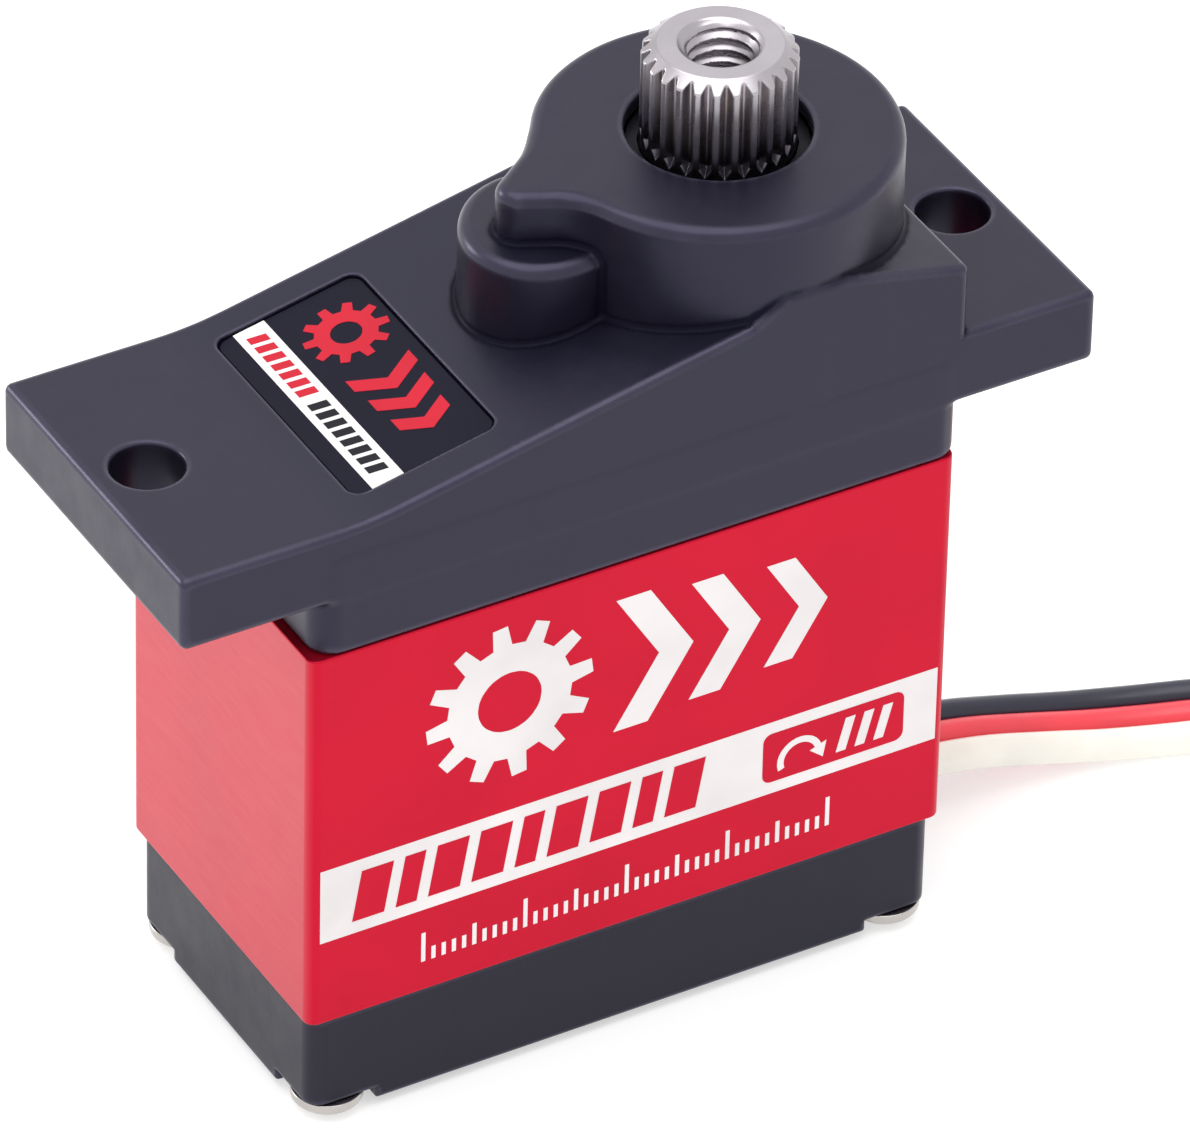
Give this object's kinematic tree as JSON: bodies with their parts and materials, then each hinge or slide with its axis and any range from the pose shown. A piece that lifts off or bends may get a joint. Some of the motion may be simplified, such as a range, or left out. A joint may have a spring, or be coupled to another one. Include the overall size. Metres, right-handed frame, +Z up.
{
  "type": "micro servo motor",
  "caption": "Micro rotary servo with a geared splined output shaft, a three-part case with two mounting lugs, and a three-wire lead ending in a plug.",
  "frame": {"origin": "centre of the outline of the case and lugs, on the plane that the case screws' heads stand on", "axes": "+X along the case from the motor end to the output shaft and lead end, +Y across the case, +Z up along the output shaft"},
  "size_m": [0.1016, 0.012, 0.0329],
  "materials": {
    "dark_case": "satin moulded",
    "label": "printed film",
    "red_aluminium": "red anodised, satin",
    "steel": "machined",
    "screw_steel": "nickel plated",
    "brass": "machined",
    "motor_steel": "drawn can",
    "magnet": "sintered",
    "copper": "enamelled winding",
    "inner_plastic": "moulded",
    "sensor_plastic": "moulded",
    "sensor_track": "phenolic",
    "board": "solder mask",
    "chip": "epoxy",
    "capacitor": "sleeved can",
    "rubber": "moulded",
    "wire_black": "soft insulation",
    "wire_red": "soft insulation",
    "wire_white": "soft insulation",
    "plug_plastic": "moulded",
    "contact": "gold flash"
  },
  "bodies": {
    "case": {"upper_case": "dark_case", "label_plate": "label", "middle_case": "red_aluminium", "lower_cover": "dark_case", "case_screw_1": "screw_steel", "case_screw_2": "screw_steel", "case_screw_3": "screw_steel", "case_screw_4": "screw_steel", "intermediate_pin": "steel", "upper_bearing_outer": "steel", "upper_bearing_balls": "steel", "lower_bearing_outer": "steel", "lower_bearing_balls": "steel", "motor_can": "motor_steel", "motor_sleeve": "brass", "motor_magnet": "magnet", "motor_end_cap": "inner_plastic", "motor_brush_left": "brass", "motor_brush_right": "brass", "pot_housing": "sensor_plastic", "pot_track": "sensor_track", "control_board": "board", "controller_chip": "chip", "driver_chip": "chip", "board_capacitor": "capacitor", "board_inductor": "chip", "cable_grommet": "rubber", "wire_black": "wire_black", "wire_red": "wire_red", "wire_white": "wire_white", "wire_black_tail": "wire_black", "wire_red_tail": "wire_red", "wire_white_tail": "wire_white", "lead_hank": "wire_red", "plug_housing": "plug_plastic", "plug_contact_1": "contact", "plug_contact_2": "contact", "plug_contact_3": "contact"},
    "output": {"output_gear": "steel", "upper_bearing_inner": "steel", "lower_bearing_inner": "steel", "pot_wiper": "sensor_plastic"},
    "third": {"third_gear": "steel"},
    "second": {"second_gear": "steel"},
    "first": {"first_gear": "brass"},
    "rotor": {"motor_shaft": "steel", "motor_winding": "copper", "motor_commutator": "copper", "motor_pinion": "brass"}
  },
  "joints": [
    {"name": "output_spin", "type": "hinge", "parent": "case", "child": "output", "pos_m": [0.00583, 0, 0.0254], "axis": [0, 0, 1], "range_deg": [-90, 90]},
    {"name": "third_gear_spin", "type": "hinge", "parent": "case", "child": "third", "pos_m": [-0.00077, 0, 0.0229], "axis": [0, 0, 1], "range_deg": [-240.5, 240.5]},
    {"name": "second_gear_spin", "type": "hinge", "parent": "case", "child": "second", "pos_m": [0.00583, 0, 0.0213], "axis": [0, 0, 1], "range_deg": [-641, 641]},
    {"name": "first_gear_spin", "type": "hinge", "parent": "case", "child": "first", "pos_m": [-0.00077, 0, 0.01985], "axis": [0, 0, 1], "range_deg": [-1708, 1708]},
    {"name": "motor_spin", "type": "hinge", "parent": "case", "child": "rotor", "pos_m": [-0.00587, 0, 0.0199], "axis": [0, 0, 1], "range_deg": [-7970, 7970]}
  ],
  "couplings": [
    {"joint": "third_gear_spin", "follows": "output_spin", "ratio": -2.6667},
    {"joint": "second_gear_spin", "follows": "output_spin", "ratio": 7.1111},
    {"joint": "first_gear_spin", "follows": "output_spin", "ratio": -18.963},
    {"joint": "motor_spin", "follows": "output_spin", "ratio": 88.494}
  ]
}
